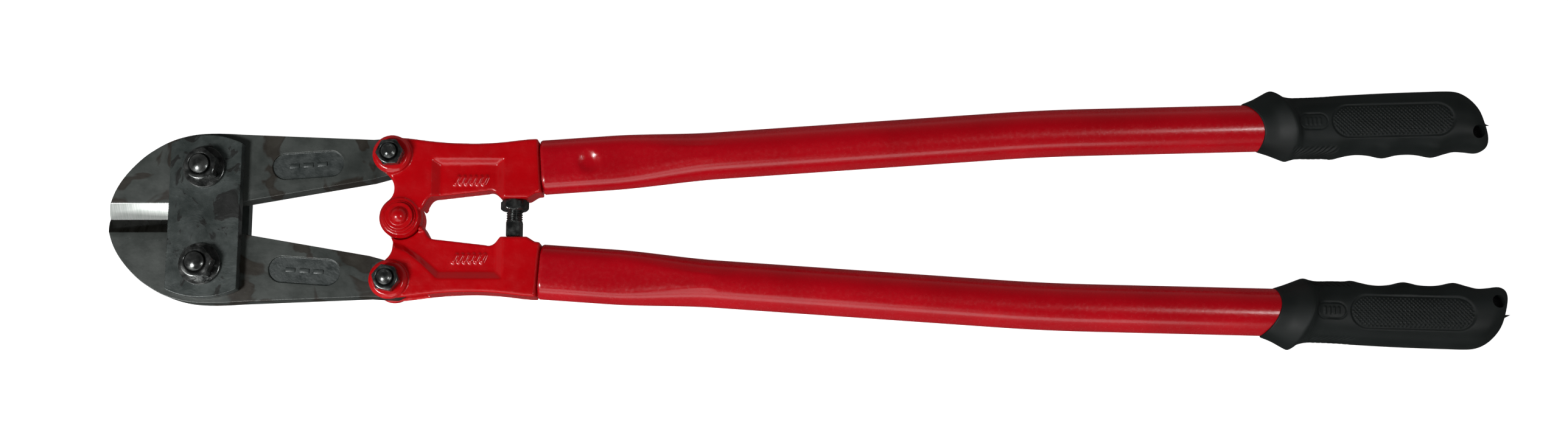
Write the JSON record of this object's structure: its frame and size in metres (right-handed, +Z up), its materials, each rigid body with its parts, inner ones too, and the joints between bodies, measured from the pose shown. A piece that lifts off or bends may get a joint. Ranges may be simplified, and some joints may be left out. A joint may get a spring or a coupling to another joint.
{
  "type": "bolt cutters",
  "caption": "Long-handled compound-action bolt cutters: bevelled jaws between strap plates, cast heads with a stop screw, swaged tube handles with ribbed rubber grips.",
  "frame": {"origin": "middle of the tool's bounding box at the level it lies on", "axes": "+X from the jaws to the grips, +Y from the lower handle to the upper handle, +Z up, out of the face with the nuts"},
  "size_m": [0.7478, 0.1398, 0.046],
  "materials": {
    "cast_red": "gloss enamel over a cast surface",
    "tube_red": "gloss enamel",
    "jaw_steel": "black oxide with ground edges",
    "strap_black": "satin black",
    "bolt_black": "black oxide",
    "rivet_red": "gloss enamel",
    "grip_rubber": "moulded, with a knurled palm pad"
  },
  "bodies": {
    "lower_handle": {"lower_casting": "cast_red", "lower_tube": "tube_red", "lower_grip": "grip_rubber", "lower_tail_bolt": "bolt_black", "lower_tail_nut": "bolt_black", "hub_washer_back": "rivet_red"},
    "upper_handle": {"upper_casting": "cast_red", "upper_tube": "tube_red", "upper_grip": "grip_rubber", "upper_tail_bolt": "bolt_black", "upper_tail_nut": "bolt_black", "hub_rivet": "rivet_red", "hub_washer_front": "rivet_red", "lock_nut": "bolt_black"},
    "stop_screw": {"stop_screw": "bolt_black"},
    "lower_jaw": {"lower_jaw": "jaw_steel"},
    "strap": {"strap_plate_front": "strap_black", "strap_plate_back": "strap_black", "upper_jaw_bolt": "bolt_black", "lower_jaw_bolt": "bolt_black", "upper_jaw_nut": "bolt_black", "lower_jaw_nut": "bolt_black", "upper_jaw_washer": "bolt_black", "lower_jaw_washer": "bolt_black"},
    "upper_jaw": {"upper_jaw": "jaw_steel"}
  },
  "joints": [
    {"name": "handle_open", "type": "hinge", "parent": "lower_handle", "child": "upper_handle", "pos_m": [-0.21693, 0.00006, 0.0199], "axis": [0, 0, 1], "range_deg": [0, 90]},
    {"name": "lower_jaw_swing", "type": "hinge", "parent": "lower_handle", "child": "lower_jaw", "pos_m": [-0.22193, -0.03363, 0.0199], "axis": [0, 0, 1], "range_deg": [0, 52]},
    {"name": "strap_swing", "type": "hinge", "parent": "lower_jaw", "child": "strap", "pos_m": [-0.32088, -0.02599, 0.0199], "axis": [0, 0, 1], "range_deg": [-7, 0]},
    {"name": "upper_jaw_swing", "type": "hinge", "parent": "strap", "child": "upper_jaw", "pos_m": [-0.32088, 0.02611, 0.0199], "axis": [0, 0, 1], "range_deg": [-7, 0]},
    {"name": "stop_screw_set", "type": "slide", "parent": "upper_handle", "child": "stop_screw", "axis": [0, 1, 0], "range_m": [0, 0.0045]}
  ],
  "couplings": [
    {"joint": "lower_jaw_swing", "follows": "handle_open", "ratio": 0.5761},
    {"joint": "strap_swing", "follows": "handle_open", "ratio": -0.0761},
    {"joint": "upper_jaw_swing", "follows": "handle_open", "ratio": -0.0761}
  ]
}
